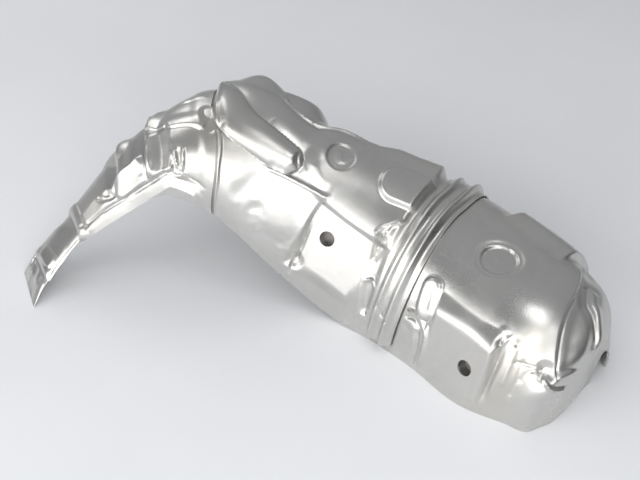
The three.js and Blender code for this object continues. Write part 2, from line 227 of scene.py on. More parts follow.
class Seat:
    """A flat for a bolt: the hole's place, the place on the form the flat is parallel to, how steeply the flat
    ends above, its reach each way and its depth."""

    def __init__(self, t, lean, parallel, upper_steepness, back, ahead, up, down, sink):
        self.normal = plain_normal(*parallel)
        self.centre = plain_point(t, lean) - self.normal * sink
        along = plain_point(t + T_STEP, lean) - plain_point(t - T_STEP, lean)
        self.along = unit(along - self.normal * dot(along, self.normal))
        upward = np.cross(self.normal, self.along)
        self.upward = upward * np.sign(upward[2])
        self.reach = {"back": back, "ahead": ahead, "up": up, "down": down}
        self.upper_steepness = upper_steepness

    def local(self, point):
        """Distances of a point along, up and out from the hole's centre."""
        offset = point - self.centre
        return dot(offset, self.along), dot(offset, self.upward), dot(offset, self.normal)

    def share(self, point, widest, edge):
        """How much of the flat acts at a point, from 1 on it to 0 past its edge."""
        along, up, out = self.local(point)
        reach = {side: min(value, widest) for side, value in self.reach.items()}
        over = np.maximum(
            np.maximum(along - reach["ahead"], -along - reach["back"]),
            np.maximum((up - reach["up"]) * self.upper_steepness, (-up - reach["down"]) * LOWER_STEEPNESS),
        )
        return (1 - rise(0, edge, over)) * (1 - rise(SEAT_REACH, 2 * SEAT_REACH, np.abs(out)))


SEATS = {
    "collector": Seat(7.83, -54, (8.12, -54), 1.0, back=11, ahead=28, up=14, down=22, sink=0.8),
    "converter": Seat(11.03, -70, (10.85, -70), 0.4, back=28, ahead=12, up=18, down=15, sink=0.8),
}


def seated(t, lean, widest=FAR, edge=SEAT_EDGE):
    """Points and outward directions of the form with the two bolt flats pressed in."""
    point = plain_point(t, lean)
    normal = plain_normal(t, lean)
    for seat in SEATS.values():
        share = seat.share(point, widest, edge)[..., None]
        out = seat.local(point)[2][..., None]
        point = point - seat.normal * out * share
        normal = unit(mix(normal, seat.normal, share))
    return point, normal


def sunk(point, normal, depth):
    """The point a depth below the skin, kept on or above the ground."""
    moved = point - normal * depth[..., None]
    moved[..., 2] = np.maximum(moved[..., 2], 0)
    return moved


# ---------------------------------------------------------------- presses, measured in true millimetres
LINE_PIECES = 6
NEARBY = 42.0


class Line:
    """A line drawn on the form through a few places, each a station and a lean."""

    def __init__(self, *stops):
        stops = np.array(stops, float)
        if len(stops) > 1:
            stops = curve_through(stops, np.linspace(0, len(stops) - 1, (len(stops) - 1) * LINE_PIECES + 1))
        self.points = plain_point(stops[:, 0], stops[:, 1])
        self.normals = plain_normal(stops[:, 0], stops[:, 1])

    def measure(self, point):
        """Distance to the line, the same with a sign for its two sides, and the share of the line run along."""
        best = np.full(point.shape[:-1], FAR)
        signed, run = best.copy(), np.zeros_like(best)
        near = np.all(point > self.points.min(0) - NEARBY, -1) & np.all(point < self.points.max(0) + NEARBY, -1)
        best[near], signed[near], run[near] = self.measure_near(point[near])
        return best, signed, run

    def measure_near(self, point):
        """The same three for a list of points, without leaving any out."""
        best = np.full(len(point), FAR)
        signed, run = best.copy(), np.zeros_like(best)
        if len(self.points) == 1:
            best = np.linalg.norm(point - self.points[0], axis=-1)
            return best, best, run
        spans = len(self.points) - 1
        for k in range(spans):
            start, step = self.points[k], self.points[k + 1] - self.points[k]
            share = np.clip(dot(point - start, step) / dot(step, step), 0, 1)
            offset = point - start - step * share[..., None]
            gap = np.linalg.norm(offset, axis=-1)
            side = np.sign(dot(offset, np.cross(self.normals[k], step)))
            closer = gap < best
            best = np.where(closer, gap, best)
            signed = np.where(closer, gap * side, signed)
            run = np.where(closer, (k + share) / spans, run)
        return best, signed, run


def along_run(value, run):
    """A size that is one number, or a pair that it runs between along its line."""
    return mix(*value, run) if isinstance(value, tuple) else value


def tube(point, line, half, height, round_off=0.7):
    """A half-round rib or channel with round ends, whose width and height may change along it."""
    gap, _, run = line.measure(point)
    share = np.clip(gap / along_run(half, run), 0, 1)
    return along_run(height, run) * (1 - share**2) ** round_off


def table(point, line, half, height, edge):
    """A raised or sunk flat with a smooth wall."""
    return height * (1 - rise(half - edge, half, line.measure(point)[0]))


def crease(point, line, half, height):
    """A tight fold that runs out at both ends."""
    gap, _, run = line.measure(point)
    ends = rise(0, 0.15, run) * (1 - rise(0.85, 1.0, run))
    return height * (1 - rise(-0.4 * half, half, gap)) / (1 - rise(-0.4 * half, half, 0)) * mix(0.35, 1.0, ends)


def shoulder(point, line, height, edge, reach, lower=0.5):
    """A step up to the left of a line, which dies away over a reach and past the ends.
    lower is the share of the step that is taken off the right side."""
    gap, signed, run = line.measure(point)
    ends = rise(0, 0.12, run) * (1 - rise(0.88, 1.0, run))
    return height * (rise(-edge, edge, signed) - lower) * (1 - rise(0.3 * reach, reach, gap)) * ends


def rumple(point, size, octaves=3, seed=0.0):
    """Fractal noise about zero at each point, for crushed and wavy metal."""
    flat = point.reshape(-1, 3) / size + seed
    values = [noise.fractal(Vector(p), 1.2, 2.1, octaves) for p in flat]
    return np.array(values).reshape(point.shape[:-1])


def crushed(point, line, half, height, size, seed=0.0):
    """A patch of crumpled metal round a line."""
    gap = line.measure(point)[0]
    share = 1 - rise(0.25 * half, half, gap)
    patch = share > 0
    out = np.zeros_like(gap)
    out[patch] = height * share[patch] * rumple(point[patch], 1.7 * size, 2, seed)
    return out


def facet(t, lean, point, span, reach, places):
    """Presses a patch of the form flat, onto the plane through three places on it."""
    corners = [plain_point(*place) for place in places]
    plane = unit(np.cross(corners[1] - corners[0], corners[2] - corners[0]))
    facing = dot(plain_normal(t, lean), plane)
    facing = np.where(np.abs(facing) < 0.3, 0.3 * np.sign(facing), facing)
    fall = dot(corners[0] - point, plane) / facing
    share = rise(span[0] - 0.05, span[0] + 0.03, t) * (1 - rise(span[1] - 0.03, span[1] + 0.09, t))
    share = share * rise(reach[0] - 4, reach[0] + 3, lean) * (1 - rise(reach[1] - 3, reach[1] + 5, lean))
    return np.clip(fall, -5, 3) * share


def press_foot(t, lean, point):
    """The foot tab's fold, flute and turned near edge."""
    fold = Line((0.80, 60), (0.84, 20), (0.88, -30), (0.86, -80))
    out = crease(point, fold, 2.4, -0.8)
    out += shoulder(point, fold, 1.6, 1.4, 9)
    out += tube(point, Line((1.12, 10), (1.2, -20)), 5.0, 1.0)
    out += crease(point, Line((0.9, -70), (1.4, -74), (1.9, -72)), 1.8, -0.7)
    past_fold = (-72 - lean) * 0.12 * rise(0.7, 1.1, t)
    out += 0.35 * np.clip(past_fold, 0, None)
    out += crushed(point, Line((0.2, 0), (0.6, 0)), 9, 0.6, 7.0, 47.0)
    return out * rise(0, 0.1, t)


def press_collar(t, lean, point):
    """The pinch and crumple at the collar's lower end."""
    out = crushed(point, Line((9.3, -70), (9.45, -78)), 9, 0.45, 4.0, 53.0)
    out += crease(point, Line((9.2, -66), (9.32, -72), (9.5, -72)), 2.5, -0.7)
    return out


def press_arm(t, lean, point):
    """The arm's turned edge, flat facets, folds, flutes and crumples."""
    upper = Line((3.98, 50), (3.86, 20), (3.70, 0), (3.62, -30), (3.58, -66))
    lower = Line((3.30, 52), (3.18, 24), (3.06, 0), (2.90, -30), (2.84, -56))
    long_fold = Line((3.70, 4), (3.95, -3), (4.3, -11), (4.7, -19), (5.0, -27))
    flange = Line((2.07, -40), (2.48, -58), (3.0, -72), (3.63, -75), (4.05, -70), (4.35, -74), (5.05, -76))
    signed = flange.measure(point)[1]
    kick = np.clip(-signed - 0.6, 0, None)
    out = np.minimum(0.5 * kick, 3.4) * rise(ARM_START, ARM_START + 0.4, t) * (1 - rise(4.75, 5.05, t))
    out += crease(point, flange, 2.4, -1.2)
    out += facet(t, lean, point, (3.74, 4.16), (-66, -6), ((3.70, -8), (3.66, -62), (4.24, -36)))
    out += facet(t, lean, point, (2.84, 3.46), (-66, -14), ((2.86, -18), (2.84, -70), (3.48, -46)))
    out += facet(t, lean, point, (2.16, 2.5), (-68, -8), ((2.18, -18), (2.18, -72), (2.5, -46)))
    out += shoulder(point, upper, 3.2, 1.5, 12, 0.25)
    out += crease(point, upper, 2.0, -0.8)
    out += shoulder(point, lower, 2.4, 2.4, 14, 0.3)
    out += shoulder(point, long_fold, 1.6, 1.2, 14, 0.1)
    out += crease(point, long_fold, 1.8, -0.5)
    out += crease(point, Line((4.5, 14), (4.75, 9), (4.98, 6)), 2.0, 0.7)
    out += crease(point, Line((3.84, 30), (3.9, 16), (3.86, 6)), 1.8, 1.1)
    out += crease(point, Line((4.26, -40), (4.28, -52), (4.36, -66)), 2.2, 1.2)
    out += crease(point, Line((4.36, -42), (4.38, -54), (4.38, -66)), 2.0, -0.9)
    out += crease(point, Line((4.5, -40), (4.48, -56), (4.4, -70)), 2.4, 1.2)
    out += crease(point, Line((4.0, -66), (4.2, -72), (4.5, -71)), 2.4, 1.0)
    out += table(point, Line((2.68, -24), (2.74, -34)), 4.5, -1.2, 4.2)
    out += crease(point, Line((2.5, -8), (2.62, -30), (2.85, -48)), 2.2, -0.9)
    out += crushed(point, Line((2.6, -24), (2.75, -42)), 8, 0.6, 7.0, 61.0)
    out += crushed(point, Line((4.2, -78), (4.35, -84)), 8, 0.6, 5.0, 3.0)
    out += tube(point, Line((3.10, 62), (3.16, 26)), 11, 2.6, 1.2)
    out += tube(point, Line((2.06, 70), (2.04, 0), (2.04, -80)), 4.0, 1.2)
    out += table(point, Line((5.02, -6), (5.14, -24)), 6.0, -1.6, 5.6)
    return np.maximum(out, -PRESS)


RIB_NEAR = Line((5.12, 14), (5.38, 0), (5.7, -14), (6.08, -21), (6.5, -25), (6.72, -26))
RIB_FAR = Line((5.42, 40), (5.72, 18), (6.03, 5), (6.35, -1), (6.65, -5), (6.95, -9))


def plateau(t, lean):
    """The raised land round the dimple: rounded at its left end, running to the joint, with a wall over the
    bolt face."""
    left = np.interp(lean, (-33, -22, -10, 8, 26), (7.42, 7.12, 6.97, 6.94, 7.0))
    wall = -37.5 - 3.0 * (t - 7.6)
    inside = rise(-6.5, 6.5, (t - left) * STATION_PITCH) * rise(-1.8, 1.8, lean - wall)
    return 2.8 * inside * (1 - rise(18, 48, lean))


def far_pad(t, lean):
    """The pad on the collector's far side: soft towards the crown, square at the joint end."""
    ends = rise(7.4, 7.95, t) * (1 - rise(8.56, 8.66, t))
    return 6.0 * ends * rise(6, 34, lean) * (1 - rise(72, 86, lean))


def press_collector(t, lean, point):
    """The collector's two ribs, raised land and dimple, pads, folds, crumples and the bead along the seam."""
    out = np.maximum(
        tube(point, RIB_NEAR, (14.5, 9.5), (6.5, 4.6), 0.62), tube(point, RIB_FAR, (19.0, 11.5), (8.6, 0.6), 0.95)
    )
    out += table(point, Line((5.75, 52), (6.2, 52)), 25, 9, 16)
    out += crease(point, Line((6.02, 24), (6.25, 14), (6.5, 9), (6.75, 9), (7.1, 16), (7.6, 22)), 2.0, 1.8)
    out += plateau(t, lean)
    out += table(point, Line((7.42, -7)), 9.6, -1.1, 1.8)
    out += table(point, Line((7.42, -7)), 7.6, -0.3, 2.6)
    out += tube(point, Line((7.36, -5), (7.45, -10)), 2.0, 0.35)
    out += tube(point, Line((7.52, -4), (7.5, -9)), 1.8, 0.3)
    ridge = Line((6.42, -38), (6.88, -36), (7.25, -35), (7.62, -34))
    out += crease(point, ridge, 2.6, 1.6)
    out += shoulder(point, ridge, -1.4, 1.4, 9)
    out += crease(point, Line((6.84, -20), (6.86, -24), (6.96, -29)), 2.4, -0.9)
    out += table(point, Line((6.4, -46), (6.1, -60)), 10, -0.9, 10)
    out += tube(point, Line((6.9, -52), (6.95, -62)), 13, 1.4, 1.6)
    out += shoulder(point, Line((8.64, -36), (8.76, -52), (8.80, -66), (8.86, -80)), -2.4, 2.4, 12, 0)
    out += table(point, Line((8.41, -4.5), (9.12, -3.5)), 13.8, 3.2, 3.4)
    out += far_pad(t, lean)
    out += crease(point, Line((8.62, -38), (8.68, -33), (8.78, -29), (8.98, -22)), 2.4, 1.7)
    out += crease(point, Line((8.79, -30), (8.77, -36), (8.73, -42)), 1.8, 1.3)
    out += crease(point, Line((8.7, -35), (8.72, -40), (8.8, -50)), 2.0, -1.3)
    out += crease(point, Line((7.58, -36), (7.48, -50), (7.4, -68), (7.25, -84)), 2.6, -1.8)
    out += table(point, Line((7.33, -76)), 7.0, -2.6, 6)
    out += crushed(point, Line((7.3, -80), (7.05, -72)), 10, 0.9, 6.0, 11.0)
    out += crushed(point, Line((6.3, -66), (6.45, -72)), 12, 0.7, 6.5, 71.0)
    out += crushed(point, Line((6.8, -24), (6.95, -32)), 7, 0.6, 4.0, 17.0)
    out += crease(point, Line((8.78, -62), (8.9, -60), (9.0, -63)), 2.0, 1.4)
    out += table(point, Line((5.16, -4), (5.3, -20)), 6.5, -1.8, 6)
    beside_seam = from_seam(t, lean)
    clear_of_seam = rise(2.6, 6.0, beside_seam)
    clear_of_band = rise(COLLAR_HALF + 1.0, COLLAR_HALF + 6.0, -from_band(t, lean))
    bead = 0.9 * np.exp(-(((beside_seam - 5.4) / 1.4) ** 2))
    return np.maximum(out, -PRESS) * clear_of_seam * clear_of_band + bead


def press_converter(t, lean, point):
    """The converter's round recess, oval emboss, ledge, groove, the dome's folds and its dent."""
    out = table(point, Line((10.43, -6)), 15.5, -1.0, 3.0)
    out += table(point, Line((10.43, -6)), 11.6, -1.6, 1.6)
    out += table(point, Line((10.43, -6)), 3.0, 0.25, 2.8)
    out += table(point, Line((9.92, -44), (9.98, -56)), 7.4, 2.4, 3.2)
    out += table(point, Line((9.92, -46), (9.98, -54)), 4.0, -0.4, 3.6)
    out += ledge(t, lean)
    groove = Line((11.45, -41), (11.52, -50), (11.56, -60), (11.52, -72), (11.45, -86))
    out += crease(point, groove, 4.2, -3.0)
    out += table(point, Line((11.42, -40)), 4.5, 1.0, 4.2)
    out += crease(point, Line((11.75, -42), (11.8, -56), (11.8, -70)), 4.0, 1.1)
    out += crease(point, Line((12.0, -46), (12.05, -60), (12.0, -74)), 3.4, -0.8)
    dome_fold = Line((11.12, 44), (11.42, 30), (11.8, 12), (12.05, -2), (12.35, -20), (12.62, -34), (12.8, -41))
    out += shoulder(point, dome_fold, -2.4, 1.3, 18, 0)
    out += crease(point, dome_fold, 1.8, -1.0)
    second = Line((11.85, 24), (12.15, 14), (12.5, 12), (12.95, 4), (13.2, -8))
    out += crease(point, second, 3.4, -1.4)
    out += shoulder(point, second, 2.0, 1.8, 9)
    out += table(point, Line((12.5, -43)), 8, -3.2, 7)
    out += crease(point, Line((12.5, -47), (12.8, -50), (13.1, -46)), 2.2, 1.6)
    out += crease(point, Line((12.4, -46), (12.2, -52), (12.1, -62)), 2.4, -0.6)
    out += crease(point, Line((12.3, -46), (12.05, -50), (11.85, -52)), 2.0, -0.5)
    out += crushed(point, Line((12.45, -42), (12.35, -50)), 9, 0.5, 4.6, 31.0)
    out += crushed(point, Line((9.75, -68), (9.9, -72)), 6, 0.6, 5.0, 41.0)
    out += crease(point, Line((9.66, -62), (9.85, -61), (10.02, -63), (10.14, -68)), 2.0, 1.7)
    out += crease(point, Line((9.7, -66), (9.86, -65), (10.0, -68)), 2.0, -1.4)
    out += crease(point, Line((10.12, -62), (10.18, -74), (10.12, -88)), 2.4, 1.5)
    out += crease(point, Line((9.97, -68), (10.02, -78), (9.97, -88)), 3.0, -1.6)
    out += table(point, Line((12.95, -70), (12.95, -90)), 15, -3.0, 14)
    out += table(point, Line((13.45, -60)), 24, 2.6, 22)
    return np.maximum(out, -PRESS) * rise(COLLAR_HALF + 1.5, COLLAR_HALF + 4.5, from_band(t, lean))


def ledge(t, lean):
    """The raised ledge along the converter's far side: square ends and a soft edge towards the crown."""
    ends = rise(9.72, 9.86, t) * (1 - rise(10.98, 11.1, t))
    return 5.2 * ends * rise(14, 34, lean) * (1 - rise(76, 86, lean))


def waviness(point):
    """The slow unevenness of hand-worked pressings."""
    return 0.30 * rumple(point, 42.0, 2, 7.0) + 0.035 * rumple(point, 11.0, 2, 13.0)


# ---------------------------------------------------------------- sheets as closed meshes
SHEET_SHARP = 40
BUSH_SHARP = 30


def grid(count, leans, start, end):
    """A grid of stations and leans between two ends that depend on the lean."""
    share = np.linspace(0, 1, count)[:, None]
    lean = np.broadcast_to(leans, (count, len(leans)))
    return mix(start(lean), end(lean), share), lean


def new_piece(name, points, faces, sharp):
    """A smooth-shaded object from drawn points and faces, with edges sharper than an angle kept crisp."""
    mesh = bpy.data.meshes.new(name)
    mesh.from_pydata((points * MM + SHIFT).tolist(), [], faces.tolist())
    mesh.shade_smooth()
    mesh.set_sharp_from_angle(angle=math.radians(sharp))
    piece = bpy.data.objects.new(name, mesh)
    bpy.context.scene.collection.objects.link(piece)
    return piece


def closed_sheet(name, outer, inner, keep=None, attributes=None):
    """A mesh object of two faces a sheet apart, with walls round every edge and hole."""
    rows, columns = outer.shape[:2]
    count = rows * columns
    ids = np.arange(count).reshape(rows, columns)
    quads = np.stack([ids[:-1, :-1], ids[1:, :-1], ids[1:, 1:], ids[:-1, 1:]], -1)
    quads = quads.reshape(-1, 4) if keep is None else quads[keep]
    edges = np.stack([quads, np.roll(quads, -1, axis=1)], -1).reshape(-1, 2)
    keys = np.sort(edges, axis=1)
    keys = keys[:, 0] * count + keys[:, 1]
    _, where, counts = np.unique(keys, return_index=True, return_counts=True)
    rim = edges[where[counts == 1]]
    walls = np.stack([rim[:, 1], rim[:, 0], rim[:, 0] + count, rim[:, 1] + count], -1)
    faces = np.concatenate([quads, quads[:, ::-1] + count, walls])
    used, faces = np.unique(faces, return_inverse=True)
    points = np.concatenate([outer.reshape(-1, 3), inner.reshape(-1, 3)])[used]
    piece = new_piece(name, points, faces.reshape(-1, 4), SHEET_SHARP)
    for title, values in (attributes or {}).items():
        layer = piece.data.attributes.new(title, "FLOAT", "POINT")
        layer.data.foreach_set("value", np.tile(values.reshape(-1), 2)[used].astype(np.float32))
    return piece


def round_hole(outer, inner, seat, diameter):
    """Opens a round hole at a seat: drops the cells inside it and pulls its ragged edge onto the circle."""
    along, up, out = seat.local(outer)
    radius = np.hypot(along, up)
    inside = (radius < diameter / 2) & (np.abs(out) < SEAT_REACH / 2)
    cells = inside[:-1, :-1] & inside[1:, :-1] & inside[1:, 1:] & inside[:-1, 1:]
    grow = np.where(inside, diameter / 2 / np.maximum(radius, 0.05), 1.0) - 1.0
    shift = seat.along * (along * grow)[..., None] + seat.upward * (up * grow)[..., None]
    return outer + shift, inner + shift, ~cells


def press_mark(displacement):
    """How sharply the sheet is worked at each point, from 0 to 1."""
    lap = np.zeros_like(displacement)
    lap[1:-1, 1:-1] = (
        displacement[2:, 1:-1]
        + displacement[:-2, 1:-1]
        + displacement[1:-1, 2:]
        + displacement[1:-1, :-2]
        - 4 * displacement[1:-1, 1:-1]
    )
    return np.clip(np.abs(lap) * 3.0, 0, 1)


def outer_panel(name, count, leans, start, end, press, seat=None, lift=None):
    """One outer panel: the seated form, its presses, a slow waviness and its bolt hole."""
    t, lean = grid(count, leans, start, end)
    point, normal = seated(t, lean)
    plain = plain_point(t, lean)
    raised = press(t, lean, plain) if press else np.zeros_like(t)
    if lift:
        raised = raised + lift(t, lean)
    flat = 1.0
    for each in SEATS.values():
        flat = flat * (1 - each.share(plain, FAR, SEAT_EDGE))
    waved = waviness(plain) * mix(0.35, 1.0, flat)
    if seat is not None:
        along, up, _ = seat.local(point)
        waved = waved * rise(BOLT_HOLE / 2, BOLT_HOLE, np.hypot(along, up))
    total = raised + waved
    outer = sunk(point, normal, -total)
    inner = sunk(point, normal, SHEET - total)
    keep = None
    if seat is not None:
        outer, inner, keep = round_hole(outer, inner, seat, BOLT_HOLE)
    marks = {"worked": press_mark(total)}
    return closed_sheet(name, outer, inner, keep, marks)


def even_leans(count, reach, middle):
    """Leans between the two rims, evenly spaced round the form at one station."""
    fine = np.linspace(-reach, reach, 1441)
    run = np.linalg.norm(np.diff(plain_point(middle, fine), axis=0), axis=1)
    run = np.concatenate([[0.0], np.cumsum(run)])
    return np.interp(np.linspace(0, run[-1], count), run, fine)


# ---------------------------------------------------------------- where the frame stands
def mat_faces(lean, t):
    """The outer and inner faces of a mat."""
    point, normal = seated(t, lean, widest=LINER_SEAT)
    return sunk(point, normal, np.full(t.shape, MAT_TOP)), sunk(point, normal, np.full(t.shape, MAT_BOTTOM))


def frame_shift():
    """Metres from the drawing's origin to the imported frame's, from the arm's mat, which is plain form."""
    steps = 11
    lean = np.broadcast_to(np.linspace(-MAT_REACH, MAT_REACH, steps), (steps, steps))
    t = mix(ARM_LINED_FROM, seam_at(lean) - 2 * END_GAP, np.linspace(0, 1, steps)[:, None])
    corners = np.concatenate([face.reshape(-1, 3) for face in mat_faces(lean, t)])
    low, high = (np.array(corner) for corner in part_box("arm_insulation_mat"))
    shift = low - corners.min(0) * MM
    if np.abs(high - shift - corners.max(0) * MM).max() > CLEAR * MM:
        raise RuntimeError("the drawn form and the packed arm mat don't agree")
    return shift


SHIFT = frame_shift()


def placed(point):
    """A drawn point in millimetres as a vector in the frame, in metres."""
    return Vector(np.asarray(point) * MM + SHIFT)


# ---------------------------------------------------------------- finishes
class Nodes:
    """Shorthand for wiring one material's nodes."""

    def __init__(self, name):
        self.material = bpy.data.materials.new(name)
        self.material.use_nodes = True
        self.tree = self.material.node_tree
        self.tree.nodes.clear()
        self.shader = self.tree.nodes.new("ShaderNodeBsdfPrincipled")
        output = self.tree.nodes.new("ShaderNodeOutputMaterial")
        self.link(self.shader.outputs[0], output.inputs["Surface"])
        coordinates = self.tree.nodes.new("ShaderNodeTexCoord")
        self.place = coordinates.outputs["Object"]

    def link(self, source, target):
        self.tree.links.new(source, target)

    def feed(self, socket, value):
        """Links a socket to another one, or gives it a plain value."""
        if isinstance(value, bpy.types.NodeSocket):
            self.link(value, socket)
        else:
            socket.default_value = value

    def add(self, kind, settings=None, **inputs):
        node = self.tree.nodes.new(kind)
        for key, value in (settings or {}).items():
            setattr(node, key, value)
        for key, value in inputs.items():
            self.feed(node.inputs[key.replace("_", " ")], value)
        return node

    def noise(self, scale, detail=3.0, roughness=0.55, distortion=0.0, vector=None):
        node = self.add(
            "ShaderNodeTexNoise",
            Scale=scale,
            Detail=detail,
            Roughness=roughness,
            Distortion=distortion,
            Vector=vector or self.place,
        )
        return node.outputs[0]

    def ramp(self, value, low, high, to_low=0.0, to_high=1.0):
        node = self.add("ShaderNodeMapRange", {"interpolation_type": "SMOOTHSTEP"}, Value=value)
        for socket, number in zip(node.inputs[1:5], (low, high, to_low, to_high)):
            socket.default_value = number
        return node.outputs[0]

    def math(self, operation, a, b):
        node = self.add("ShaderNodeMath", {"operation": operation})
        for socket, value in zip(node.inputs, (a, b)):
            self.feed(socket, value)
        return node.outputs[0]

    def blend(self, share, low, high, kind="MIX"):
        node = self.add("ShaderNodeMix", {"data_type": "RGBA", "blend_type": kind})
        for socket, value in zip((node.inputs[0], node.inputs[6], node.inputs[7]), (share, low, high)):
            self.feed(socket, value)
        return node.outputs[2]

    def stretched(self, turn, scale):
        node = self.add("ShaderNodeMapping", Vector=self.place)
        node.inputs["Rotation"].default_value = turn
        node.inputs["Scale"].default_value = scale
        return node.outputs[0]

    def bump(self, height, strength, distance, below=None):
        node = self.add("ShaderNodeBump", Height=height, Strength=strength, Distance=distance)
        if below is not None:
            self.link(below, node.inputs["Normal"])
        return node.outputs[0]

    def attribute(self, name):
        return self.add("ShaderNodeAttribute", {"attribute_name": name}).outputs["Fac"]


def scratches(nodes, turn, density, width):
    """Thin straight scratches: a very stretched noise with only its peaks kept."""
    streaks = nodes.noise(density, 2.0, 0.6, 0.4, nodes.stretched(turn, (1.0, 22.0, 22.0)))
    return nodes.ramp(streaks, 0.70 - width, 0.70)


def bright_steel(look):
    """Aluminised steel, rolled bright: soft smears, fine scratches, tarnish in the worked places."""
    nodes = Nodes("bright_steel")
    shader = nodes.shader
    shader.inputs["Metallic"].default_value = 1.0
    worked = nodes.attribute("worked")
    smear = nodes.noise(34.0, 5.0, 0.62, 0.8)
    patch = nodes.noise(13.0, 3.0, 0.55, 0.3)
    fine = nodes.noise(900.0, 3.0, 0.6)
    long_lines = scratches(nodes, (0.3, 0.2, 0.5), 90.0, 0.05)
    lines = nodes.math("MAXIMUM", long_lines, scratches(nodes, (1.1, 0.7, 2.0), 70.0, 0.04))
    tint = nodes.blend(nodes.ramp(patch, 0.52, 0.78), (*look.steel, 1.0), (*look.straw, 1.0))
    tint = nodes.blend(nodes.ramp(smear, 0.35, 0.75, 0.0, 0.34), tint, (*look.shade, 1.0))
    nodes.link(tint, shader.inputs["Base Color"])
    rough = nodes.ramp(smear, 0.3, 0.75, look.gloss, look.gloss + 0.13)
    rough = nodes.math("ADD", rough, nodes.ramp(patch, 0.35, 0.7, 0.0, 0.05))
    rough = nodes.math("ADD", rough, nodes.math("MULTIPLY", lines, 0.14))
    rough = nodes.math("ADD", rough, nodes.math("MULTIPLY", worked, 0.06))
    nodes.link(rough, shader.inputs["Roughness"])
    normal = nodes.bump(nodes.noise(150.0, 2.0, 0.5), 0.14, 0.0004)
    normal = nodes.bump(fine, 0.10, 0.00008, normal)
    normal = nodes.bump(lines, 0.08, 0.00008, normal)
    nodes.link(normal, shader.inputs["Normal"])
    return nodes.material


def dull_steel(look):
    """The liner's mill finish, browned by heat."""
    nodes = Nodes("dull_steel")
    shader = nodes.shader
    shader.inputs["Metallic"].default_value = 1.0
    patch = nodes.noise(22.0, 5.0, 0.6, 0.5)
    grain = nodes.noise(240.0, 2.0, 0.5, 0.0, nodes.stretched((0.0, 0.0, 0.4), (1.0, 14.0, 14.0)))
    base = nodes.blend(nodes.ramp(patch, 0.35, 0.7), (*look.liner, 1.0), (*look.scorch, 1.0))
    nodes.link(base, shader.inputs["Base Color"])
    nodes.link(nodes.ramp(patch, 0.3, 0.7, 0.36, 0.55), shader.inputs["Roughness"])
    nodes.link(nodes.bump(grain, 0.3, 0.00015), shader.inputs["Normal"])
    return nodes.material


def fibre_mat(look):
    """Pressed mineral fibre: pale, matted and slightly speckled."""
    nodes = Nodes("fibre_mat")
    shader = nodes.shader
    strands = nodes.noise(420.0, 6.0, 0.75, 2.5)
    patch = nodes.noise(60.0, 3.0, 0.6)
    base = nodes.blend(nodes.ramp(strands, 0.3, 0.7), (*look.fibre_dark, 1.0), (*look.fibre, 1.0))
    base = nodes.blend(nodes.ramp(patch, 0.4, 0.7, 0.0, 0.4), base, (*look.fibre_stain, 1.0))
    nodes.link(base, shader.inputs["Base Color"])
    shader.inputs["Roughness"].default_value = 0.95
    nodes.link(nodes.bump(strands, 0.8, 0.0006), shader.inputs["Normal"])
    return nodes.material


def plated_steel(look):
    """Zinc-plated bush, turned and tumbled."""
    nodes = Nodes("plated_steel")
    shader = nodes.shader
    shader.inputs["Metallic"].default_value = 1.0
    cloud = nodes.noise(180.0, 4.0, 0.6)
    base = nodes.blend(nodes.ramp(cloud, 0.35, 0.7), (*look.zinc, 1.0), (*look.zinc_bloom, 1.0))
    nodes.link(base, shader.inputs["Base Color"])
    nodes.link(nodes.ramp(cloud, 0.3, 0.7, 0.3, 0.5), shader.inputs["Roughness"])
    nodes.link(nodes.bump(nodes.noise(1500.0, 2.0), 0.2, 0.00006), shader.inputs["Normal"])
    return nodes.material


def pale_floor(look):
    """Matt studio paper with the faintest mottling."""
    nodes = Nodes("studio_floor")
    shader = nodes.shader
    shade = tuple(channel * 0.97 for channel in look.floor)
    base = nodes.blend(nodes.ramp(nodes.noise(6.0, 4.0), 0.3, 0.7), (*look.floor, 1.0), (*shade, 1.0))
    nodes.link(base, shader.inputs["Base Color"])
    shader.inputs["Roughness"].default_value = 0.85
    shader.inputs["Specular IOR Level"].default_value = 0.2
    return nodes.material


def finish(piece, material, slot, *nodes):
    """Dresses a piece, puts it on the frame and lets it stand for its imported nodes."""
    piece.data.materials.append(material)
    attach(piece, "root")
    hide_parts(*nodes)


def material_of(maker, look):
    """One material of each kind for the whole scene."""
    return bpy.data.materials.get(maker.__name__) or maker(look)


def colour(name, description, default):
    return FloatVectorProperty(
        name=name, description=description, default=default, subtype="COLOR", size=3, min=0, max=1
    )


class ShieldLook(bpy.types.PropertyGroup):
    """Finish of each kind of piece."""

    steel: colour("Bright Steel", "Colour of the polished outer panels", (0.64, 0.632, 0.61))
    straw: colour("Straw Tint", "Faint heat tint on the outer panels", (0.64, 0.61, 0.55))
    shade: colour("Smear", "Colour of the handling smears on the outer panels", (0.46, 0.455, 0.44))
    liner: colour("Liner Steel", "Colour of the inner liners", (0.36, 0.36, 0.37))
    scorch: colour("Scorch", "Heat stain on the inner liners", (0.24, 0.215, 0.19))
    fibre: colour("Fibre", "Colour of the insulation mats", (0.66, 0.62, 0.53))
    fibre_dark: colour("Fibre Shade", "Colour between the strands of the mats", (0.46, 0.42, 0.35))
    fibre_stain: colour("Fibre Stain", "Colour of the browned patches of the mats", (0.36, 0.31, 0.24))
    zinc_bloom: colour("Zinc Bloom", "Colour of the cloudy patches on the bushes", (0.42, 0.41, 0.38))
    zinc: colour("Zinc", "Colour of the plated bushes", (0.30, 0.30, 0.29))
    floor: colour("Floor", "Colour of the studio floor", (0.80, 0.81, 0.83))
    gloss: FloatProperty(
        name="Polish Roughness",
        description="Roughness of the cleanest parts of the outer panels",
        default=0.25,
        min=0.0,
        max=1.0,
        subtype="FACTOR",
    )


